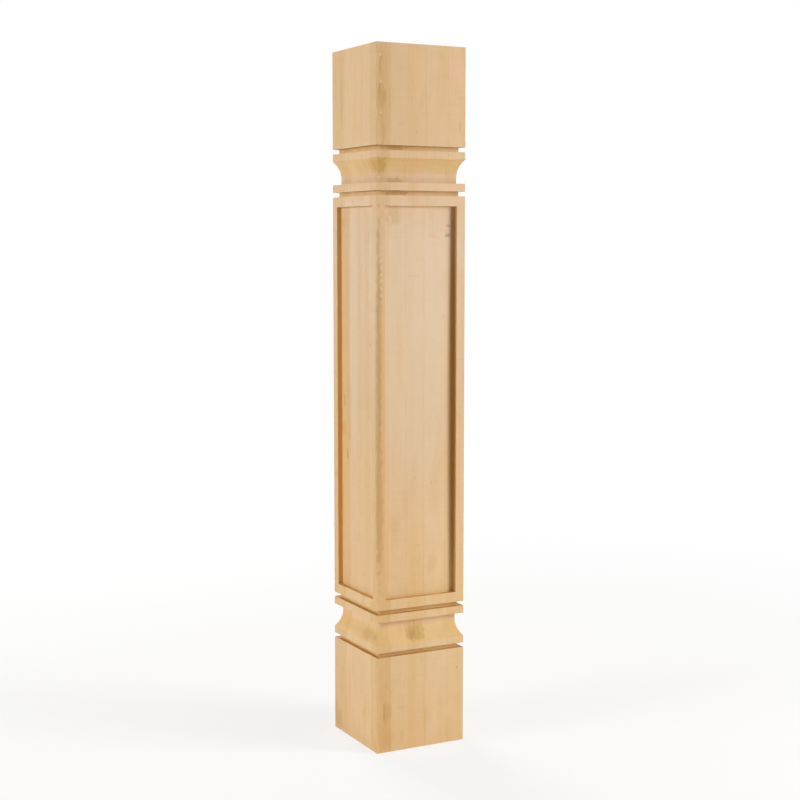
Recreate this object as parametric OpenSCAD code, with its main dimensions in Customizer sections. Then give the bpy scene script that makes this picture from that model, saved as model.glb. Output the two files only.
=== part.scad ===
// Square newel post with a plain block at each end, a coved moulding between
// saw grooves next to each block, and a recessed panel on all four sides.
// The post is one solid, milled from a glued-up blank. Sizes are in millimetres.
// It stands on the floor plane, centred on the Z axis, with its faces square to X and Y.

/* [Post] */
// Width of the post across two opposite faces
post_w = 127; // [110:1:180]
// Overall height, from the foot to the top
post_h = 901.7; // [700:0.1:1200]

/* [End blocks] */
// Height of the plain block at each end
end_block_h = 125.4; // [60:0.1:180]

/* [Grooves] */
// Height of each saw groove
groove_h = 6; // [3:0.1:10]
// Depth of each saw groove, measured from the face
groove_d = 6.4; // [3:0.1:12]

/* [Coved mouldings] */
// Height of the flat band beside the end block
outer_band_h = 9.5; // [5:0.1:20]
// Height of the cove, from the band down to the neck
cove_h = 22; // [16:0.1:35]
// Depth of the cove at the neck, measured from the face
cove_d = 8.4; // [4:0.1:14]
// Height of the straight neck below the cove
neck_h = 8.3; // [2:0.1:20]
// Height of the flat band beside the panel block
inner_band_h = 10; // [5:0.1:20]

/* [Recessed panels] */
// Width of the stile left at each side of a panel
stile_w = 12; // [10:0.1:30]
// Height of the rail left above and below a panel
rail_h = 13; // [8:0.1:60]
// Depth of each panel, measured from the face
panel_d = 6.4; // [2:0.1:9]

/* [Hidden] */

// Facets of a full circle
$fn = 96;
// Cutters run past the faces by this much
overshoot = 5;

// Each moulding fills the height from one saw groove to the other
moulding_h = outer_band_h + cove_h + neck_h + inner_band_h;
// Height at which the panel block starts, and the same distance from the top
panel_block_z = end_block_h + groove_h + moulding_h + groove_h;
panel_block_h = post_h - 2 * panel_block_z;
// The cove is an arc that starts at the face and runs upright into the neck
cove_r = (pow(cove_d, 2) + pow(cove_h, 2)) / (2 * cove_d);

// A square-cornered cut into the face, in the side profile:
// x = 0 is the face and the stock lies on its negative side
module face_cut(z, height, depth) {
    translate([-depth, z])
        square([depth + overshoot, height]);
}

// The hollow of one moulding, in the side profile: the cove, then the neck
module cove_cut(z) {
    intersection() {
        translate([cove_r - cove_d, z + cove_h])
            circle(cove_r);
        face_cut(z, cove_h, cove_d);
    }
    face_cut(z + cove_h, neck_h, cove_d);
}

// Every cut above the foot block, on one face of the side profile
module moulding_cuts() {
    band_z = end_block_h + groove_h;
    face_cut(end_block_h, groove_h, groove_d);
    cove_cut(band_z + outer_band_h);
    face_cut(band_z + moulding_h, groove_h, groove_d);
}

// Outline of the post from one side, with the height along Y
module side_profile() {
    difference() {
        translate([-post_w / 2, 0])
            square([post_w, post_h]);
        for (side = [0, 1], end = [0, 1])
            mirror([side, 0])
                translate([post_w / 2, end * post_h])
                    mirror([0, end])
                        moulding_cuts();
    }
}

// The side profile run right through the stock, along Y
module profiled_stock() {
    rotate([90, 0, 0])
        linear_extrude(post_w, center = true)
            side_profile();
}

// The pocket of one panel, in the face towards negative Y
module panel_pocket() {
    translate([-post_w / 2 + stile_w, -post_w / 2 - overshoot, panel_block_z + rail_h])
        cube([post_w - 2 * stile_w, panel_d + overshoot, panel_block_h - 2 * rail_h]);
}

// The whole post: two profiled stocks crossed, which mitres the mouldings
// at the corners, with a panel cut into each side
module post() {
    color([0.87, 0.76, 0.6])
        difference() {
            intersection() {
                profiled_stock();
                rotate([0, 0, 90])
                    profiled_stock();
            }
            for (side = [0 : 3])
                rotate([0, 0, 90 * side])
                    panel_pocket();
        }
}

post();
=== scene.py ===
# %% [markdown]
# # A square newel post in maple
#
# The post is milled from one glued-up blank of hard maple, 127 mm square and
# about 0.9 m tall. A plain block is left at each end. Next to each block come a
# saw groove, a coved moulding and another groove, and the long block between
# the mouldings has a shallow panel cut into each of its four sides.
#
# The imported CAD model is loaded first. It fixes the overall size, and the
# whole script works in its frame: metres, with the foot's centre at the origin.

import math

import bmesh
import bpy
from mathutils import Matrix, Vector


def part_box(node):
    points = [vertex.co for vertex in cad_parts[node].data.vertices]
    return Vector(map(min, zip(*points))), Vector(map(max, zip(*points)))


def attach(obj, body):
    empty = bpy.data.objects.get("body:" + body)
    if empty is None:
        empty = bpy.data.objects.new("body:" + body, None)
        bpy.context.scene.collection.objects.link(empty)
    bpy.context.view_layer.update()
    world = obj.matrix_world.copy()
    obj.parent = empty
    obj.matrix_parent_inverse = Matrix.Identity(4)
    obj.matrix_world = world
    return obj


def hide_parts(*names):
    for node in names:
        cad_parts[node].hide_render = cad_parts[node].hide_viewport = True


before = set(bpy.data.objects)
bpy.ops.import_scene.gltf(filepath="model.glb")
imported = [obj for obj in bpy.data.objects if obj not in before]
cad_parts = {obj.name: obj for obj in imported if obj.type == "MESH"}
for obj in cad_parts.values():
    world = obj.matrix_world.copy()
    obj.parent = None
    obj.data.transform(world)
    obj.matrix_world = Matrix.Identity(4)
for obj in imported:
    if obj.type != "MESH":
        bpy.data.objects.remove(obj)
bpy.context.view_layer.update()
low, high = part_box("post")
POST_W = high.x - low.x
POST_H = high.z - low.z
print(f"post: {POST_W * 1000:.1f} mm square, {POST_H * 1000:.1f} mm tall")

# %% [markdown]
# ## Sizes
#
# These are the joiner's sizes, and the CAD solid was cut to the same ones. The
# stack of cuts above the foot is mirrored below the top, so one list of
# stations describes both ends.

# %% Sizes
MM = 0.001
HALF_W = POST_W / 2

END_BLOCK_H = 125.4 * MM
GROOVE_H = 6.0 * MM
GROOVE_D = 6.4 * MM
OUTER_BAND_H = 9.5 * MM
COVE_H = 22.0 * MM
COVE_D = 8.4 * MM
NECK_H = 8.3 * MM
INNER_BAND_H = 10.0 * MM
STILE_W = 12.0 * MM
RAIL_H = 13.0 * MM
PANEL_D = 6.4 * MM

COVE_R = (COVE_D**2 + COVE_H**2) / (2 * COVE_D)
BAND_Z = END_BLOCK_H + GROOVE_H
COVE_Z = BAND_Z + OUTER_BAND_H
NECK_TOP_Z = COVE_Z + COVE_H + NECK_H
GROOVE_Z = NECK_TOP_Z + INNER_BAND_H
PANEL_LOW_Z = GROOVE_Z + GROOVE_H + RAIL_H
PANEL_HIGH_Z = POST_H - PANEL_LOW_Z
print(f"cove radius {COVE_R / MM:.1f} mm")
print(f"panel from {PANEL_LOW_Z / MM:.1f} to {PANEL_HIGH_Z / MM:.1f} mm")

# %% [markdown]
# ## The camera
#
# A long lens from about two metres keeps the post's sides nearly parallel, as
# in a catalogue view. The camera stands to the left of the front, so one side
# shows wide and the next one narrow. It is at about three quarters of the
# post's height and tipped down a little.

# %% Camera
CAMERA_AZIMUTH = math.radians(-27.54)
CAMERA_AWAY = 1.985
CAMERA_H = 0.656
CAMERA_TURN = math.radians(-27.61)
CAMERA_TILT = math.radians(5.93)
LENS, SENSOR_W = 68.3, 36
LEVEL = math.radians(90)


def direction(azimuth, elevation):
    """The unit vector from the post towards this azimuth and elevation; azimuth 0 is the front."""
    level = math.cos(elevation)
    return Vector((math.sin(azimuth) * level, -math.cos(azimuth) * level, math.sin(elevation)))


def link(thing):
    """Puts an object in the scene."""
    bpy.context.scene.collection.objects.link(thing)
    return thing


camera_data = bpy.data.cameras.new("camera")
camera_data.sensor_width = SENSOR_W
camera_data.lens = LENS
camera = link(bpy.data.objects.new("camera", camera_data))
camera.rotation_euler = (LEVEL - CAMERA_TILT, 0, CAMERA_TURN)
camera.location = direction(CAMERA_AZIMUTH, 0) * CAMERA_AWAY + Vector((0, 0, CAMERA_H))
bpy.context.scene.camera = camera
print("camera at", [round(c, 3) for c in camera.location])

# %% [markdown]
# ## The post's outline
#
# Seen from the side, the post is a stack of steps. Each station below is a
# height and an inset from the face. The cove is the only curve: an arc that
# leaves the band at an angle and runs upright into the neck, so its depth at
# each height follows from the circle.

# %% Stations up the post
COVE_STEPS = 20


def cove_stations():
    """Heights and insets along the lower cove, from its band to its neck."""
    found = []
    for step in range(1, COVE_STEPS + 1):
        to_neck = COVE_H * (1 - step / COVE_STEPS)
        rise = COVE_R - math.sqrt(COVE_R**2 - to_neck**2)
        found.append((COVE_Z + COVE_H - to_neck, COVE_D - rise))
    return found


lower_stations = [
    (END_BLOCK_H, 0),
    (END_BLOCK_H, GROOVE_D),
    (BAND_Z, GROOVE_D),
    (BAND_Z, 0),
    (COVE_Z, 0),
    *cove_stations(),
    (NECK_TOP_Z, COVE_D),
    (NECK_TOP_Z, 0),
    (GROOVE_Z, 0),
    (GROOVE_Z, GROOVE_D),
    (GROOVE_Z + GROOVE_H, GROOVE_D),
    (GROOVE_Z + GROOVE_H, 0),
]
upper_stations = [(POST_H - z, inset) for z, inset in reversed(lower_stations)]
stations = [*lower_stations, *upper_stations, (POST_H, 0)]
print(f"{len(stations)} stations up the post")

# %% [markdown]
# ## Raising the post
#
# A moulder runs the same profile round all four sides, so the corners of the
# moulding come out mitred. Two profiles could be crossed with a Boolean, but
# that leaves long thin triangles. Here the edges of one square are extruded
# from station to station, and scaled at each by its inset, which keeps the
# mitres exact and every face four-sided. A last face closes the top.

# %% Raise the square through the stations
post_mesh = bmesh.new()
bmesh.ops.create_grid(post_mesh, x_segments=1, y_segments=1, size=HALF_W)
ring_edges = list(post_mesh.edges)
at_z = 0.0
at_half = HALF_W
for station_z, inset in stations:
    made = bmesh.ops.extrude_edge_only(post_mesh, edges=ring_edges)["geom"]
    corners = [g for g in made if isinstance(g, bmesh.types.BMVert)]
    ring_edges = [g for g in made if isinstance(g, bmesh.types.BMEdge)]
    shrink = (HALF_W - inset) / at_half
    bmesh.ops.translate(post_mesh, verts=corners, vec=(0, 0, station_z - at_z))
    bmesh.ops.scale(post_mesh, verts=corners, vec=(shrink, shrink, 1))
    at_z = station_z
    at_half = HALF_W - inset
bmesh.ops.contextual_create(post_mesh, geom=ring_edges)
bmesh.ops.recalc_face_normals(post_mesh, faces=post_mesh.faces)
print(f"raised: {len(post_mesh.faces)} faces, top at {at_z:.4f} m")

# %% [markdown]
# ## Sinking the panels
#
# The panels are routed into the solid. Each side of the long block is cut by
# four planes, along the stiles and the rails, and the middle piece is pushed
# in. Cutting by planes, rather than by an inset, lets the rails be a little
# deeper than the stiles, as the joiner made them.

# %% Mark out and sink the four panels
CROSSWISE = 0.5  # a normal with less than this along a direction stands across it
UP = Vector((0, 0, 1))


def long_block_sides():
    """The four sides of the block between the mouldings."""
    return [
        f
        for f in post_mesh.faces
        if abs(f.normal.z) < CROSSWISE and abs(f.calc_center_median().z - POST_H / 2) < MM
    ]


def cut_faces(faces, point, square_to):
    """Cuts these faces along the plane through this point, and gives back all their pieces."""
    edges = {e for f in faces for e in f.edges}
    corners = {v for f in faces for v in f.verts}
    geom = [*faces, *edges, *corners]
    made = bmesh.ops.bisect_plane(post_mesh, geom=geom, plane_co=point, plane_no=square_to)
    return [g for g in made["geom"] if isinstance(g, bmesh.types.BMFace)]


for side in long_block_sides():
    outward = side.normal.copy()
    middle = side.calc_center_median()
    sideways = UP.cross(outward)
    pieces = [side]
    for reach in (STILE_W - HALF_W, HALF_W - STILE_W):
        pieces = cut_faces(pieces, sideways * reach, sideways)
    for rail_z in (PANEL_LOW_Z, PANEL_HIGH_Z):
        pieces = cut_faces(pieces, UP * rail_z, UP)
    panel = min(pieces, key=lambda f: (f.calc_center_median() - middle).length)
    floor_face = bmesh.ops.extrude_discrete_faces(post_mesh, faces=[panel])["faces"][0]
    bmesh.ops.translate(post_mesh, verts=floor_face.verts, vec=outward * -PANEL_D)
print(f"with panels: {len(post_mesh.faces)} faces")

# %% [markdown]
# ## Easing the edges
#
# Nobody leaves a milled edge knife-sharp: the post is sanded by hand, which
# rounds every outer edge by about half a millimetre. A bevel of three segments
# is meant to give each edge the thin line of light that such a rounding
# catches. The rims of the panels are harder to reach with paper, so they get a
# smaller radius and are bevelled first.
#
# Only the rims come out round. Where the rail cuts of two sides meet on an edge
# of the long block, they leave two corners in one place, with an edge of no
# length between them. clamp_overlap holds a bevel back to the room it finds, so
# the second bevel has no width: the arrises stay sharp, and its faces have no
# area. Cuts made with dist=0.01 * MM in bisect_plane snap to a corner that is
# already on their plane, and leave no such edge.

# %% Bevel the outer edges
ARRIS_R = 0.6 * MM
RIM_R = 0.35 * MM
ROUND_SEGMENTS = 3
SHARP = math.radians(30)
TOUCH = 0.01 * MM


def outer_edges():
    """Every edge that sticks out, which is where sandpaper reaches."""
    return [e for e in post_mesh.edges if e.is_convex and e.calc_face_angle() > SHARP]


def on_rim(edge):
    """True for an edge around a panel's mouth."""
    middle = (edge.verts[0].co + edge.verts[1].co) / 2
    sideways = min(abs(middle.x), abs(middle.y))
    in_height = PANEL_LOW_Z - TOUCH < middle.z < PANEL_HIGH_Z + TOUCH
    return in_height and sideways < HALF_W - STILE_W + TOUCH


def round_edges(edges, radius):
    """Bevels these edges by this radius, or by less where they are short of room."""
    bmesh.ops.bevel(
        post_mesh,
        geom=edges,
        offset=radius,
        offset_type="OFFSET",
        affect="EDGES",
        segments=ROUND_SEGMENTS,
        profile=0.5,
        material=-1,
        clamp_overlap=True,
    )


rims = [e for e in outer_edges() if on_rim(e)]
round_edges(rims, RIM_R)
arrises = [e for e in outer_edges() if not on_rim(e)]
round_edges(arrises, ARRIS_R)
open_edges = sum(not e.is_manifold for e in post_mesh.edges)
print(f"bevelled {len(rims)} rims and {len(arrises)} arrises; {open_edges} open edges")

# %% [markdown]
# ## Marking the tool cuts
#
# The saw grooves and the walls of the panels are hollows in shade, and the
# finish paints a warm shade onto them. It has to know which faces those are, so
# two face attributes keep them: one for the saw grooves and one for the walls of
# the panels.

# %% Mark the saw cuts and the router cuts
def depth_of(face):
    """How far this face lies inside the post's square outline."""
    middle = face.calc_center_median()
    return HALF_W - max(abs(middle.x), abs(middle.y))


def in_groove(face):
    """True for the floor and the two walls of a saw groove."""
    z = face.calc_center_median().z
    from_end = min(z, POST_H - z)
    near_end = END_BLOCK_H - TOUCH < from_end < BAND_Z + TOUCH
    near_panel = GROOVE_Z - TOUCH < from_end < GROOVE_Z + GROOVE_H + TOUCH
    return (near_end or near_panel) and depth_of(face) > ARRIS_R


def on_panel_wall(face):
    """True for the four walls of a panel, but not its floor."""
    middle = face.calc_center_median()
    along_x = abs(middle.x) > abs(middle.y)
    outward = Vector((middle.x, 0, 0)) if along_x else Vector((0, middle.y, 0))
    in_height = PANEL_LOW_Z - TOUCH < middle.z < PANEL_HIGH_Z + TOUCH
    stands_across = abs(face.normal.dot(outward.normalized())) < CROSSWISE
    return in_height and depth_of(face) > RIM_R and stands_across


groove_shade = post_mesh.faces.layers.float.new("groove_shade")
panel_wall_shade = post_mesh.faces.layers.float.new("panel_wall_shade")
for face in post_mesh.faces:
    face[groove_shade] = float(in_groove(face))
    face[panel_wall_shade] = float(on_panel_wall(face))
sawn = sum(f[groove_shade] > 0 for f in post_mesh.faces)
routed = sum(f[panel_wall_shade] > 0 for f in post_mesh.faces)
print(f"{sawn} faces sawn, {routed} faces routed")

# %% [markdown]
# ## Making the object
#
# Smooth shading would smear light over the wide flat sides, so edges that turn
# sharply inwards are marked sharp, and a Weighted Normal modifier lets each big
# face keep its own normal while the rims' small rounds blend between. The new
# piece stands for the CAD node, which is hidden, and rides with the root body.

# %% The finished piece
INNER_CORNER = math.radians(40)
for edge in post_mesh.edges:
    edge.smooth = edge.calc_face_angle() < INNER_CORNER
for face in post_mesh.faces:
    face.smooth = True
newel_data = bpy.data.meshes.new("newel")
post_mesh.to_mesh(newel_data)
post_mesh.free()
newel = link(bpy.data.objects.new("newel", newel_data))
evened = newel.modifiers.new("flat sides", "WEIGHTED_NORMAL")
evened.keep_sharp = True
evened.weight = 100
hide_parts("post")
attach(newel, "root")
print(f"newel: {len(newel_data.polygons)} faces, {len(newel_data.vertices)} corners")

# %% [markdown]
# ## Building node trees
#
# The wood is a solid pattern: it is worked out in three dimensions, so the
# grain on one side runs on round the corner and comes out as rings on the end,
# as it does in a real board. A few short helpers keep the node code readable.
# Each takes plain numbers or the sockets of earlier nodes.

# %% Helpers for nodes
MIX_A, MIX_B, MIX_OUT = 6, 7, 2


def fill(tree, node, inputs):
    """Gives each named input its number, or links it to its socket."""
    for socket, value in inputs.items():
        if isinstance(value, bpy.types.NodeSocket):
            tree.links.new(value, node.inputs[socket])
        else:
            node.inputs[socket].default_value = value


def add(tree, kind, inputs, **settings):
    """Adds a node, sets its options, and fills or links its inputs."""
    made = tree.nodes.new(kind)
    for name, value in settings.items():
        setattr(made, name, value)
    fill(tree, made, inputs)
    return made


def math_node(tree, operation, *values):
    """The result of one Math node."""
    return add(tree, "ShaderNodeMath", dict(enumerate(values)), operation=operation).outputs[0]


def vector_node(tree, operation, *values, output="Vector"):
    """The result of one Vector Math node."""
    made = add(tree, "ShaderNodeVectorMath", dict(enumerate(values)), operation=operation)
    return made.outputs[output]


def ease(tree, value, start, end, low=0.0, high=1.0):
    """Maps value smoothly from the range start to end onto low to high."""
    inputs = {"Value": value, "From Min": start, "From Max": end, "To Min": low, "To Max": high}
    return add(tree, "ShaderNodeMapRange", inputs, interpolation_type="SMOOTHSTEP").outputs[0]


def blend(tree, mode, share, first, second):
    """One colour over another, by share."""
    inputs = {0: share, MIX_A: first, MIX_B: second}
    made = add(tree, "ShaderNodeMix", inputs, data_type="RGBA", blend_type=mode)
    return made.outputs[MIX_OUT]


def new_group(name, inputs, outputs):
    """A node group with its sockets made, and its input and output nodes."""
    group = bpy.data.node_groups.new(name, "ShaderNodeTree")
    for socket, kind in inputs.items():
        group.interface.new_socket(socket, in_out="INPUT", socket_type=f"NodeSocket{kind}")
    for socket, kind in outputs.items():
        group.interface.new_socket(socket, in_out="OUTPUT", socket_type=f"NodeSocket{kind}")
    return group, group.nodes.new("NodeGroupInput"), group.nodes.new("NodeGroupOutput")


def place_group(tree, group, inputs):
    """Puts a group in a tree and gives back its outputs."""
    made = tree.nodes.new("ShaderNodeGroup")
    made.node_tree = group
    fill(tree, made, inputs)
    return made.outputs


print("helpers ready")

# %% [markdown]
# ## How the blank is glued up
#
# A post this thick is never one piece of timber. Boards are laid side by side
# in five layers, and each layer is made of three strips. The group below takes
# a place in the blank, in millimetres from its front corner, and says which
# strip it falls in and how near a glue line it lies.

# %% Staves and glue lines
LAYER_LINES = (19.5, 45, 71, 102)
ROW_LINES = ((18, 34), (91, -17))  # where each line runs, and how far a layer may shift it
ROWS = len(ROW_LINES) + 1
STAVE_COUNT = (len(LAYER_LINES) + 1) * ROWS
GLUE_FULL, GLUE_END = 0.1, 0.5


def step_past(tree, value, line):
    """1 beyond the line and 0 before it, with the distance to the line."""
    gap = math_node(tree, "ABSOLUTE", math_node(tree, "SUBTRACT", value, line))
    return math_node(tree, "GREATER_THAN", value, line), gap


def stave_group():
    """Which stave a place falls in, from 0 to 1, and how near a glue line it lies."""
    group, given, result = new_group(
        "stave layout", {"Place": "Vector"}, {"Stave": "Float", "Glue": "Float"}
    )
    axes = add(group, "ShaderNodeSeparateXYZ", {"Vector": given.outputs["Place"]}).outputs
    layer, row = 0.0, 0.0
    gaps = []
    for line in LAYER_LINES:
        past, gap = step_past(group, axes["X"], line)
        layer = math_node(group, "ADD", layer, past)
        gaps.append(gap)
    white = add(group, "ShaderNodeTexWhiteNoise", {"W": layer}, noise_dimensions="1D")
    after_first = math_node(group, "MINIMUM", layer, 1.0)
    shift = math_node(group, "MULTIPLY", white.outputs["Value"], after_first)
    for line, wander in ROW_LINES:
        shifted = math_node(group, "MULTIPLY_ADD", shift, wander, line)
        past, gap = step_past(group, axes["Y"], shifted)
        row = math_node(group, "ADD", row, past)
        gaps.append(gap)
    nearest = gaps[0]
    for gap in gaps[1:]:
        nearest = math_node(group, "MINIMUM", nearest, gap)
    count = math_node(group, "MULTIPLY_ADD", layer, ROWS, row)
    stave = math_node(group, "DIVIDE", math_node(group, "ADD", count, 0.5), STAVE_COUNT)
    group.links.new(stave, result.inputs["Stave"])
    glue = ease(group, nearest, GLUE_FULL, GLUE_END, low=1.0, high=0.0)
    group.links.new(glue, result.inputs["Glue"])
    return group


staves = stave_group()
print(f"{STAVE_COUNT} staves")

# %% [markdown]
# ## Growth rings
#
# Every stave was sawn from its own tree, with its heart somewhere outside the
# strip and leaning a little. The distance from that heart gives the rings.
# Even rings would look printed, so the distance runs through one-dimensional
# noise, which gives wide and narrow rings, faint ones and a few dark ones.

# %% Growth rings
HEART_NEAR, HEART_FAR = 80, 170
HEART_LEAN = 0.06
RING_SPACING, BAND_SPACING = 2.4, 14
WAVER_W, WAVER_H, WAVER_DEPTH = 40, 220, 14
SEED_SPREAD = 900
POST_MIDDLE = (HALF_W / MM, HALF_W / MM, 0)


def heart_place(tree, place, stave):
    """Where the heart of this stave's tree lies, at the height of this place."""
    white = add(tree, "ShaderNodeTexWhiteNoise", {"W": stave}, noise_dimensions="1D")
    luck = add(tree, "ShaderNodeSeparateColor", {"Color": white.outputs["Color"]}).outputs
    turn = math_node(tree, "MULTIPLY", luck[0], math.tau)
    at_foot = math_node(tree, "MULTIPLY_ADD", luck[1], HEART_FAR - HEART_NEAR, HEART_NEAR)
    height = add(tree, "ShaderNodeSeparateXYZ", {"Vector": place}).outputs["Z"]
    slant = math_node(tree, "MULTIPLY_ADD", luck[2], HEART_LEAN, -HEART_LEAN / 2)
    away = math_node(tree, "ADD", at_foot, math_node(tree, "MULTIPLY", height, slant))
    heart_x = math_node(tree, "MULTIPLY", away, math_node(tree, "COSINE", turn))
    heart_y = math_node(tree, "MULTIPLY", away, math_node(tree, "SINE", turn))
    return add(tree, "ShaderNodeCombineXYZ", {"X": heart_x, "Y": heart_y}).outputs[0]


def ring_group():
    """The tone of a stave's fine rings, and of the broader bands behind them."""
    group, given, result = new_group(
        "growth rings", {"Place": "Vector", "Stave": "Float"}, {"Ring": "Float", "Band": "Float"}
    )
    place, stave = given.outputs["Place"], given.outputs["Stave"]
    heart = heart_place(group, place, stave)
    from_middle = vector_node(group, "SUBTRACT", place, POST_MIDDLE)
    from_heart = vector_node(group, "SUBTRACT", from_middle, heart)
    level = vector_node(group, "MULTIPLY", from_heart, (1, 1, 0))
    radius = vector_node(group, "LENGTH", level, output="Value")
    shrunk = vector_node(group, "MULTIPLY", place, (1 / WAVER_W, 1 / WAVER_W, 1 / WAVER_H))
    waver = add(group, "ShaderNodeTexNoise", {"Vector": shrunk, "Scale": 1, "Detail": 2})
    swing = math_node(group, "MULTIPLY", waver.outputs["Fac"], WAVER_DEPTH)
    radius = math_node(group, "ADD", radius, swing)
    for name, spacing in (("Ring", RING_SPACING), ("Band", BAND_SPACING)):
        seed = math_node(group, "MULTIPLY", stave, SEED_SPREAD)
        along = math_node(group, "ADD", math_node(group, "DIVIDE", radius, spacing), seed)
        inputs = {"W": along, "Scale": 1, "Detail": 1}
        tone = add(group, "ShaderNodeTexNoise", inputs, noise_dimensions="1D")
        group.links.new(tone.outputs["Fac"], result.inputs[name])
    return group


rings = ring_group()
print("rings about", RING_SPACING, "mm apart")

# %% [markdown]
# ## Fibre and flecks
#
# Close up, maple shows fine fibres along the grain and many short dark pores.
# Noise stretched along the height gives the fibres. The flecks are cells of a
# Voronoi texture, stretched the same way: only the heart of a cell is dark, and
# only in some cells.

# %% Fibres and flecks
FIBRE_SIZES = {"Fine": (0.55, 0.55, 14), "Long": (2.6, 2.6, 160)}
FLECK_CORE = 0.5


def fibre_group():
    """Fine fibres, and the long soft streaks between them."""
    group, given, result = new_group(
        "fibre", {"Place": "Vector"}, {"Fine": "Float", "Long": "Float"}
    )
    for name, size in FIBRE_SIZES.items():
        stretched = vector_node(group, "DIVIDE", given.outputs["Place"], size)
        inputs = {"Vector": stretched, "Scale": 1, "Detail": 3}
        threads = add(group, "ShaderNodeTexNoise", inputs)
        group.links.new(threads.outputs["Fac"], result.inputs[name])
    return group


def fleck_group():
    """Short dashes, one in the heart of some cells of a stretched cell pattern."""
    group, given, result = new_group(
        "flecks",
        {"Place": "Vector", "Cell": "Vector", "Size": "Float", "Share": "Float"},
        {"Mask": "Float"},
    )
    stretched = vector_node(group, "DIVIDE", given.outputs["Place"], given.outputs["Cell"])
    cells = add(group, "ShaderNodeTexVoronoi", {"Vector": stretched, "Scale": 1}).outputs
    core = math_node(group, "MULTIPLY", given.outputs["Size"], FLECK_CORE)
    dash = ease(group, cells["Distance"], core, given.outputs["Size"], low=1.0, high=0.0)
    luck = add(group, "ShaderNodeSeparateColor", {"Color": cells["Color"]}).outputs["Red"]
    kept = math_node(group, "LESS_THAN", luck, given.outputs["Share"])
    group.links.new(math_node(group, "MULTIPLY", dash, kept), result.inputs["Mask"])
    return group


fibre = fibre_group()
fleck = fleck_group()
print("fibre and fleck groups ready")

# %% [markdown]
# ## Marks in the wood
#
# Maple carries mineral streaks, pin knots and patches of sap that follow no
# pattern. Each is placed one by one as a soft-edged blot: a centre in the blank, a
# reach each way, and noise that breaks up its edge so it looks grown. A few blots
# have a smooth edge: a painted shadow on the front panel's floor beside its right
# wall, painted light that makes that floor paler, and a golden band and a broad
# paler area on the left side's panel floor.

# %% One mark
MARK_CORE = 0.45


def mark_group():
    """A blot that is full in its core and fades out at its reach."""
    group, given, result = new_group(
        "mark",
        {"Place": "Vector", "Rough": "Vector", "Centre": "Vector", "Reach": "Vector"},
        {"Mask": "Float"},
    )
    apart = vector_node(group, "SUBTRACT", given.outputs["Place"], given.outputs["Centre"])
    scaled = vector_node(group, "DIVIDE", apart, given.outputs["Reach"])
    broken = vector_node(group, "ADD", scaled, given.outputs["Rough"])
    outwards = vector_node(group, "LENGTH", broken, output="Value")
    blot = ease(group, outwards, MARK_CORE, 1.0, low=1.0, high=0.0)
    group.links.new(blot, result.inputs["Mask"])
    return group


mark = mark_group()
print("mark group ready")

# %% The maple's colours
def colour(red, green, blue):
    """The linear values that a shader takes for a screen colour from 0 to 255 (sRGB's curve)."""
    linear = []
    for value in (red / 255, green / 255, blue / 255):
        linear.append(value / 12.92 if value <= 0.04045 else ((value + 0.055) / 1.055) ** 2.4)
    return (*linear, 1)


CREAM = colour(229, 205, 174)
PALE = colour(228, 198, 164)
FAWN = colour(227, 195, 158)
TAN = colour(223, 190, 151)
HONEY = colour(219, 179, 127)
AMBER = colour(222, 166, 98)
OLIVE = colour(190, 149, 82)
GOLD = colour(229, 184, 124)
# the brown of the painted shadow beside the front panel's right wall
SHADOW_BROWN = colour(184, 128, 56)
BROWN = colour(146, 105, 52)
PINK = colour(226, 172, 142)
CHALK = colour(236, 216, 186)
WHITE = (1, 1, 1, 1)

STAVE_TONES = (
    TAN, PALE, TAN,
    FAWN, PALE, TAN,
    FAWN, TAN, PALE,
    PALE, FAWN, TAN,
    FAWN, PALE, FAWN,
)
print(f"{len(STAVE_TONES)} stave tones")

# %% [markdown]
# ## The maple
#
# Everything comes together here. Each stave has its own tone, paler towards the
# upper middle of the post, and part of that change along the post is painted
# light, lifted at the foot where the lamps light it less. Over that go rings,
# fibres, flecks and marks, and the dark line of each glue joint. Faces that look
# up or down are darker, partly from the end grain's own tone and partly as
# painted shade on the coves and ledges, and the grooves and the panel walls get a
# painted warm shade.

# %% The maple material
maple = bpy.data.materials.new("maple")
maple.use_nodes = True
wood = maple.node_tree
principled = wood.nodes["Principled BSDF"]

coordinates = add(wood, "ShaderNodeTexCoord", {}).outputs
blank = add(wood, "ShaderNodeMapping", {
    "Vector": coordinates["Object"],
    "Location": POST_MIDDLE,
    "Scale": (1 / MM, 1 / MM, 1 / MM),
}).outputs[0]
blank_z = add(wood, "ShaderNodeSeparateXYZ", {"Vector": blank}).outputs["Z"]
layout = place_group(wood, staves, {"Place": blank})
ring = place_group(wood, rings, {"Place": blank, "Stave": layout["Stave"]})
thread = place_group(wood, fibre, {"Place": blank})
print("staves, rings and fibres placed")

# %% Helpers for the wood's colours
# how the colour changes from the foot, at 0, to the top, at 1: partly the wood's own tone, partly
# painted light, lifted at the foot where the lamps light it less
LENGTH_TINTS = (
    (0.00, (1.02, 0.95, 0.75)),
    (0.11, (1.00, 0.97, 0.82)),
    (0.22, (1.00, 0.94, 0.76)),
    (0.33, (0.99, 0.94, 0.80)),
    (0.50, (0.91, 0.88, 0.78)),
    (0.73, (0.92, 0.945, 0.965)),
    (0.80, (0.93, 0.89, 0.82)),
    (0.88, (0.89, 0.84, 0.69)),
    (1.00, (0.89, 0.84, 0.69)),
)


def ramp(tree, value, stops, interpolation="LINEAR"):
    """The colour that a ramp gives at this value."""
    made = add(tree, "ShaderNodeValToRGB", {"Fac": value})
    made.color_ramp.interpolation = interpolation
    made.color_ramp.elements.remove(made.color_ramp.elements[1])
    for index, (at, shade) in enumerate(stops):
        stop = made.color_ramp.elements.new(at) if index else made.color_ramp.elements[0]
        stop.position = at
        stop.color = (*shade[:3], 1)
    return made.outputs["Color"]


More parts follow.
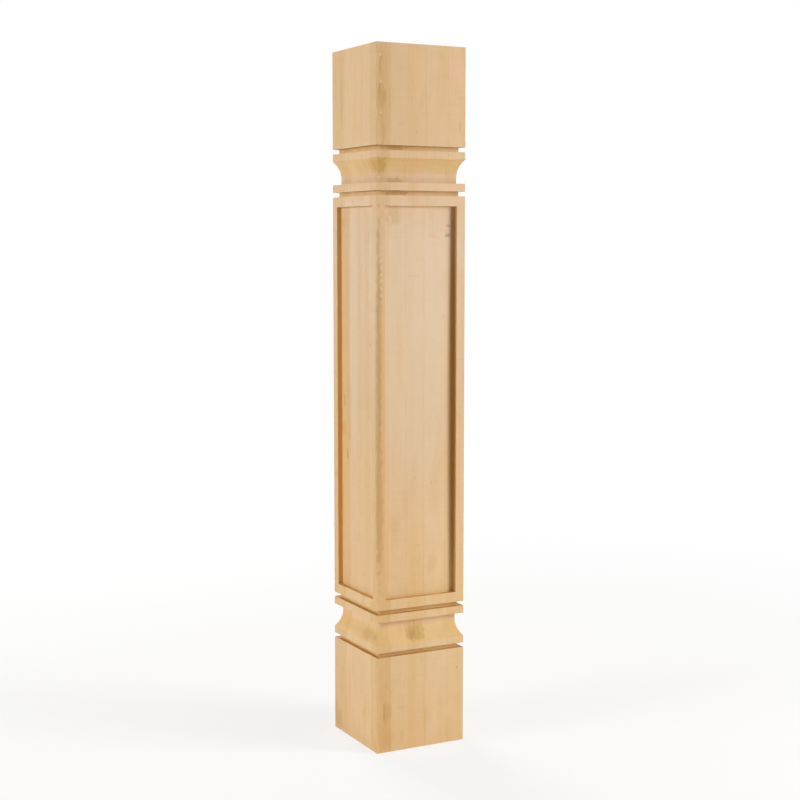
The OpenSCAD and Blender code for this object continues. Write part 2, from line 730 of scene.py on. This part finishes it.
def tint(mask, strength, under, factors):
    """Multiplies the red, green and blue below by these factors, where the mask says."""
    share = math_node(wood, "MULTIPLY", mask, strength)
    return blend(wood, "MULTIPLY", share, under, (*factors, 1))


def tint_where(under, noise, start, end, strength, factors):
    """Tints the wood where this noise has gone from start to end."""
    return tint(ease(wood, noise, start, end), strength, under, factors)


def blank_noise(size, detail, output="Fac"):
    """Noise whose blotches have about this size along X, Y and Z, in millimetres."""
    stretched = vector_node(wood, "DIVIDE", blank, size)
    inputs = {"Vector": stretched, "Scale": 1, "Detail": detail}
    return add(wood, "ShaderNodeTexNoise", inputs).outputs[output]


print(f"{len(LENGTH_TINTS)} tints along the post")

# %% Stave tones and patches
BROAD_SIZE = (42, 42, 130)
CLOUD_SIZE = (11, 11, 34)
CURL_SIZE = (26, 26, 4.5)
TOP = POST_H / MM

tones = [(index / STAVE_COUNT, shade) for index, shade in enumerate(STAVE_TONES)]
surface = ramp(wood, layout["Stave"], tones, "CONSTANT")
# the change along the post: partly the wood's tone, partly painted light at the foot
length_tint = ramp(wood, math_node(wood, "DIVIDE", blank_z, TOP), LENGTH_TINTS)
surface = blend(wood, "MULTIPLY", 1.0, surface, length_tint)

broad = blank_noise(BROAD_SIZE, detail=3)
cloud = blank_noise(CLOUD_SIZE, detail=4)
for noise, start, end, factors in (
    (broad, 0.5, 0.72, (1.0, 0.965, 0.95)),
    (broad, 0.5, 0.3, (0.985, 0.97, 0.90)),
    (cloud, 0.5, 0.75, (0.965, 0.94, 0.88)),
    (cloud, 0.5, 0.28, (1.02, 1.02, 1.05)),
):
    surface = tint_where(surface, noise, start, end, 1.0, factors)
curl = blank_noise(CURL_SIZE, detail=2)
surface = tint_where(surface, curl, 0.5, 0.75, 0.7, (0.97, 0.95, 0.92))
print("stave tones and patches mixed")

# %% Rings and fibres
shown = ease(wood, broad, 0.35, 0.6, low=0.25, high=1.0)
surface = tint_where(surface, ring["Band"], 0.45, 0.75, 0.6, (0.97, 0.93, 0.86))
lines = math_node(wood, "MULTIPLY", ease(wood, ring["Ring"], 0.52, 0.75), shown)
surface = tint(lines, 0.4, surface, (0.93, 0.88, 0.80))
surface = tint_where(surface, thread["Long"], 0.5, 0.72, 0.35, (0.95, 0.92, 0.87))
surface = tint_where(surface, thread["Fine"], 0.42, 0.75, 0.4, (0.94, 0.92, 0.89))
print("rings and fibres mixed")

# %% Flecks
FLECK_SHARE = 0.6
for cell, size, strength in (((1.3, 1.3, 9), 0.22, 0.16), ((6, 6, 30), 0.09, 0.5)):
    inputs = {"Place": blank, "Cell": cell, "Size": size, "Share": FLECK_SHARE}
    dashes = place_group(wood, fleck, inputs)
    patchy = ease(wood, cloud, 0.4, 0.6, low=0.2, high=1.0)
    here = math_node(wood, "MULTIPLY", dashes["Mask"], patchy)
    surface = blend(wood, "MIX", math_node(wood, "MULTIPLY", here, strength), surface, BROWN)
print("small and large flecks mixed")

# %% The marks: colour, strength, centre and reach
SMOOTH_PATCHES_AND_PAINTED_LIGHT = (
    # painted light: makes the front panel's floor paler than its stiles and rails
    (CREAM, 0.45, (50, 9, 520), (80, 7, 270)),
    # painted shadow: the right stile's shadow on the front panel's floor
    (SHADOW_BROWN, 0.80, (116, 6, 450), (14, 5, 340)),
    (CREAM, 0.40, (6, 80, 560), (8, 16, 260)),
    (GOLD, 0.75, (6, 113, 420), (8, 16, 380)),
)
MARKS = [
    # the front corner's stave, with its mineral streak
    (OLIVE, 0.28, (9, 0, TOP - 60), (11, 10, 90)),
    (OLIVE, 0.75, (8, 0, TOP - 66), (8, 8, 18)),
    (OLIVE, 0.35, (6, 0, TOP - 25), (4, 8, 22)),
    (OLIVE, 0.45, (9, 0, TOP - 108), (4, 8, 30)),
    (BROWN, 0.35, (5, 0, TOP - 26), (1.2, 4, 12)),
    (BROWN, 0.35, (4, 0, TOP - 58), (1.2, 4, 10)),
    (BROWN, 0.30, (18, 0, TOP - 68), (0.8, 4, 17)),
    (OLIVE, 0.78, (7, 4, TOP - 150), (12, 32, 15)),
    (OLIVE, 0.55, (4, 0, 540), (5, 5, 190)),
    (BROWN, 0.22, (2, 0, 450), (5, 5, 290)),
    (OLIVE, 0.60, (3, 0, 325), (8, 5, 130)),
    (AMBER, 0.28, (9, 0, 430), (5, 3, 290)),
    (AMBER, 0.30, (9, 0, 60), (14, 8, 110)),
    (OLIVE, 0.38, (14, 0, 52), (8, 12, 19)),
    (BROWN, 0.30, (10, 0, 52), (1.3, 4, 15)),
    (OLIVE, 0.20, (12, 0, 20), (11, 8, 20)),
    # the front's other staves
    (HONEY, 0.45, (56, 0, TOP - 28), (17, 30, 36)),
    (PINK, 0.35, (114, 0, TOP - 28), (15, 20, 34)),
    (BROWN, 0.30, (119, 0, TOP - 98), (1, 4, 12)),
    (OLIVE, 0.85, (30, 6, TOP - 128), (20, 4, 5)),
    (HONEY, 0.45, (80, 0, TOP - 144), (46, 20, 8)),
    (OLIVE, 0.60, (30, 8, TOP - 169), (17, 4, 5)),
    (OLIVE, 0.75, (30, 6, TOP - 184), (20, 4, 5)),
    (OLIVE, 0.60, (58, 4, 153), (17, 20, 16)),
    (BROWN, 0.20, (53, 4, 150), (8, 20, 8)),
    (AMBER, 0.35, (112, 0, 168), (10, 20, 12)),
    (OLIVE, 0.36, (28, 6, 691), (13, 6, 17)),
    (HONEY, 0.60, (83, 6, 242), (10, 6, 16)),
    (PINK, 0.40, (82, 6, 664), (11, 6, 5)),
    (BROWN, 0.36, (106, 6, 677), (5, 6, 2.8)),
    (BROWN, 0.42, (105, 6, 665), (6, 6, 3.0)),
    (BROWN, 0.10, (57, 6, 614), (14, 6, 1.5)),
    (HONEY, 0.35, (36, 6, 520), (8, 6, 60)),
    (BROWN, 0.50, (117, 0, 99), (1.4, 4, 1.6)),
    (HONEY, 0.40, (105, 0, 18), (7, 6, 22)),
    # the side to the left of the front
    (AMBER, 0.45, (6, 104, 684), (8, 11, 13)),
    (BROWN, 0.35, (6, 107, 448), (6, 2.5, 12)),
    (AMBER, 0.70, (6, 108, 412), (8, 9, 12)),
    (BROWN, 0.40, (6, 98, 378), (6, 3, 9)),
    (OLIVE, 0.34, (4, 36, 149), (20, 26, 10)),
    (OLIVE, 0.32, (0, 117, 14), (8, 14, 30)),
    (PINK, 0.25, (0, 84, 50), (8, 9, 64)),
    (OLIVE, 0.40, (0, 100, TOP - 60), (8, 5, 50)),
    (BROWN, 0.35, (0, 104, TOP - 50), (4, 0.9, 24)),
    (HONEY, 0.40, (6, 40, 300), (8, 26, 120)),
]
for knot_z in (TOP - 15, TOP - 48, TOP - 86):
    MARKS.append((CHALK, 0.35, (6, 0, knot_z), (1.4, 3, 2.4)))
    MARKS.append((BROWN, 0.35, (6.5, 0, knot_z - 4), (1.4, 3, 2.6)))

print(f"{len(SMOOTH_PATCHES_AND_PAINTED_LIGHT)} smooth stains and {len(MARKS)} marks")

# %% Lay the marks over the wood
RAGGED_SIZE = (4.5, 4.5, 12)
RAGGED_DEPTH = (1.4, 1.4, 1.4)
NOISE_MIDDLE = (0.5, 0.5, 0.5)
SMOOTH = (0, 0, 0)
ragged = blank_noise(RAGGED_SIZE, detail=4, output="Color")
ragged = vector_node(wood, "SUBTRACT", ragged, NOISE_MIDDLE)
ragged = vector_node(wood, "MULTIPLY", ragged, RAGGED_DEPTH)


def blot_mask(where, edge, centre, reach):
    """The mask of one mark."""
    inputs = {"Place": where, "Rough": edge, "Centre": centre, "Reach": reach}
    return place_group(wood, mark, inputs)["Mask"]


def lay_mark_and_painted_light(under, shade, strength, centre, reach, edge):
    """Lays one soft-edged mark over the colours below it: marks in the wood, and for a few smooth
    blots painted light and a painted shadow.
    """
    share = math_node(wood, "MULTIPLY", blot_mask(blank, edge, centre, reach), strength)
    return blend(wood, "MIX", share, under, shade)


# the smooth blots include a painted shadow and painted light on the front panel's floor
for shade, strength, centre, reach in SMOOTH_PATCHES_AND_PAINTED_LIGHT:
    surface = lay_mark_and_painted_light(surface, shade, strength, centre, reach, SMOOTH)
for shade, strength, centre, reach in MARKS:
    surface = lay_mark_and_painted_light(surface, shade, strength, centre, reach, ragged)
print("stains and marks laid")

# %% [markdown]
# Down the front stile runs a row of pin knots, one above the other where thin
# twigs once grew. Folding the height back on itself every few millimetres
# repeats one pair of marks, a chalky knot and its dark rim, along the row.

# %% A row of pin knots
KNOT_ROW_Z = 570
KNOT_ROW_H = 84
KNOT_GAP = 8.5
KNOT_WANDER = 16
ROW_FULL, ROW_END = 0.3, 0.5  # shares of the row's height, from its middle
up_row = math_node(wood, "SUBTRACT", blank_z, KNOT_ROW_Z)
wandering = math_node(wood, "MULTIPLY_ADD", cloud, KNOT_WANDER, up_row)
folded = math_node(wood, "MODULO", wandering, KNOT_GAP)
from_middle = math_node(wood, "ABSOLUTE", math_node(wood, "SUBTRACT", up_row, KNOT_ROW_H / 2))
in_row = ease(wood, from_middle, KNOT_ROW_H * ROW_FULL, KNOT_ROW_H * ROW_END, low=1.0, high=0.0)
axes = add(wood, "ShaderNodeSeparateXYZ", {"Vector": blank}).outputs
inputs = {"X": axes["X"], "Y": axes["Y"], "Z": folded}
knot_place = add(wood, "ShaderNodeCombineXYZ", inputs).outputs[0]
for shade, strength, centre, reach in (
    (CHALK, 0.25, (6.5, 0, 3), (2.2, 3, 3.2)),
    (BROWN, 0.15, (4.4, 0, 6), (1.6, 3, 2.4)),
):
    knot = blot_mask(knot_place, ragged, centre, reach)
    share = math_node(wood, "MULTIPLY", math_node(wood, "MULTIPLY", knot, in_row), strength)
    surface = blend(wood, "MIX", share, surface, shade)
print("pin knots", KNOT_GAP, "mm apart")

# %% Glue lines, end grain and painted shade in the hollows
joint = math_node(wood, "MULTIPLY", layout["Glue"], ease(wood, cloud, 0.25, 0.55))
surface = tint(joint, 0.45, surface, (0.80, 0.71, 0.56))
facing = add(wood, "ShaderNodeSeparateXYZ", {"Vector": coordinates["Normal"]}).outputs["Z"]
slope = math_node(wood, "ABSOLUTE", facing)
# faces that look up or down are darker: partly the end grain's own tone, partly painted shade on
# the coves and ledges
surface = tint_where(surface, slope, 0.03, 0.20, 1.0, (0.98, 0.955, 0.76))
surface = tint_where(surface, slope, 0.70, 1.00, 1.0, (0.88, 0.82, 0.78))
# painted warm shade in the saw grooves and on the panel walls, which lie in the shade of the
# hollows
for attribute, factors in (("groove_shade", (1.00, 0.96, 0.76)), ("panel_wall_shade", (0.92, 0.85, 0.58))):
    cut = add(wood, "ShaderNodeAttribute", {}, attribute_name=attribute).outputs["Fac"]
    surface = tint(cut, 1.0, surface, factors)
wood.links.new(surface, principled.inputs["Base Color"])
print("glue lines, end grain and tool cuts mixed")

# %% Roughness and fine relief
MATT_LOW, MATT_HIGH = 0.48, 0.62
GLOSS = 0.35
RELIEF_STRENGTH, RELIEF_DEPTH = 0.25, 0.15 * MM
roughness = ease(wood, thread["Fine"], 0.3, 0.7, low=MATT_LOW, high=MATT_HIGH)
wood.links.new(roughness, principled.inputs["Roughness"])
principled.inputs["Specular IOR Level"].default_value = GLOSS
inputs = {"Height": thread["Fine"], "Strength": RELIEF_STRENGTH, "Distance": RELIEF_DEPTH}
relief = add(wood, "ShaderNodeBump", inputs).outputs["Normal"]
wood.links.new(relief, principled.inputs["Normal"])
newel.data.materials.append(maple)
print(f"maple: {len(wood.nodes)} nodes")

# %% [markdown]
# ## The studio
#
# Three tall softboxes stand around the post, one for each of the two sides in
# view and one for the back. They look down on it by only a few degrees, so the
# hollows keep their shadows, and a weaker one overhead lights the top. The
# floor is plain pale paper. To the camera it fades into the white background
# with distance, and near the post it keeps a soft shadow.

# %% Softboxes
SOFTBOX_W, SOFTBOX_H = 0.8, 1.2
SOFTBOX_DISTANCE = 2.2


def softbox(name, azimuth, elevation, watts):
    """A tall soft lamp aimed at the post's middle, from this direction in degrees."""
    away = direction(math.radians(azimuth), math.radians(elevation))
    data = bpy.data.lights.new(name, "AREA")
    data.shape = "RECTANGLE"
    data.size = SOFTBOX_W
    data.size_y = SOFTBOX_H
    data.energy = watts
    lamp = link(bpy.data.objects.new(name, data))
    lamp.location = Vector((0, 0, POST_H / 2)) + away * SOFTBOX_DISTANCE
    lamp.rotation_euler = away.to_track_quat("Z", "Y").to_euler()


softbox("right softbox", azimuth=49, elevation=14, watts=45)
softbox("left softbox", azimuth=-90, elevation=14, watts=30)
softbox("back softbox", azimuth=178, elevation=14, watts=30)
softbox("top softbox", azimuth=0, elevation=90, watts=14)
print("four softboxes")

# %% World
world = bpy.data.worlds.new("studio")
bpy.context.scene.world = world
world.use_nodes = True
sky = world.node_tree
AMBIENT = 0.07


def seen_directly(tree):
    """1 for rays that show the background itself or its mirror image, otherwise 0."""
    rays = add(tree, "ShaderNodeLightPath", {}).outputs
    either = math_node(tree, "MAXIMUM", rays["Is Camera Ray"], rays["Is Glossy Ray"])
    return math_node(tree, "MAXIMUM", either, rays["Is Transmission Ray"])


brightness = math_node(sky, "MAXIMUM", seen_directly(sky), AMBIENT)
background = sky.nodes["Background"]
background.inputs["Color"].default_value = WHITE
sky.links.new(brightness, background.inputs["Strength"])
print("white background, ambient", AMBIENT)

# %% Floor
FLOOR_REACH = 8
FADE_FROM, FADE_TO = 0.25, 1.6
NEAR_GLOW = 0.7
PAPER = colour(236, 234, 231)
floor_mesh = bmesh.new()
bmesh.ops.create_grid(floor_mesh, x_segments=1, y_segments=1, size=FLOOR_REACH)
floor_data = bpy.data.meshes.new("floor")
floor_mesh.to_mesh(floor_data)
floor_mesh.free()
floor = link(bpy.data.objects.new("floor", floor_data))

paper_material = bpy.data.materials.new("paper")
paper_material.use_nodes = True
paper = paper_material.node_tree
paper.nodes.remove(paper.nodes["Principled BSDF"])
matt = add(paper, "ShaderNodeBsdfDiffuse", {"Color": PAPER}).outputs[0]
glow = add(paper, "ShaderNodeEmission", {"Color": WHITE, "Strength": 1.0}).outputs[0]
from_post = add(paper, "ShaderNodeTexCoord", {}).outputs["Object"]
outwards = vector_node(paper, "LENGTH", from_post, output="Value")
fade = ease(paper, outwards, FADE_FROM, FADE_TO, low=NEAR_GLOW, high=1.0)
glowing = math_node(paper, "MULTIPLY", fade, seen_directly(paper))
mixed = add(paper, "ShaderNodeMixShader", {0: glowing, 1: matt, 2: glow}).outputs[0]
paper.links.new(mixed, paper.nodes["Material Output"].inputs["Surface"])
floor.data.materials.append(paper_material)
print("floor", 2 * FLOOR_REACH, "m across")

# %% Colours are shown as they are written
bpy.context.scene.view_settings.view_transform = "Standard"
print("view transform", bpy.context.scene.view_settings.view_transform)
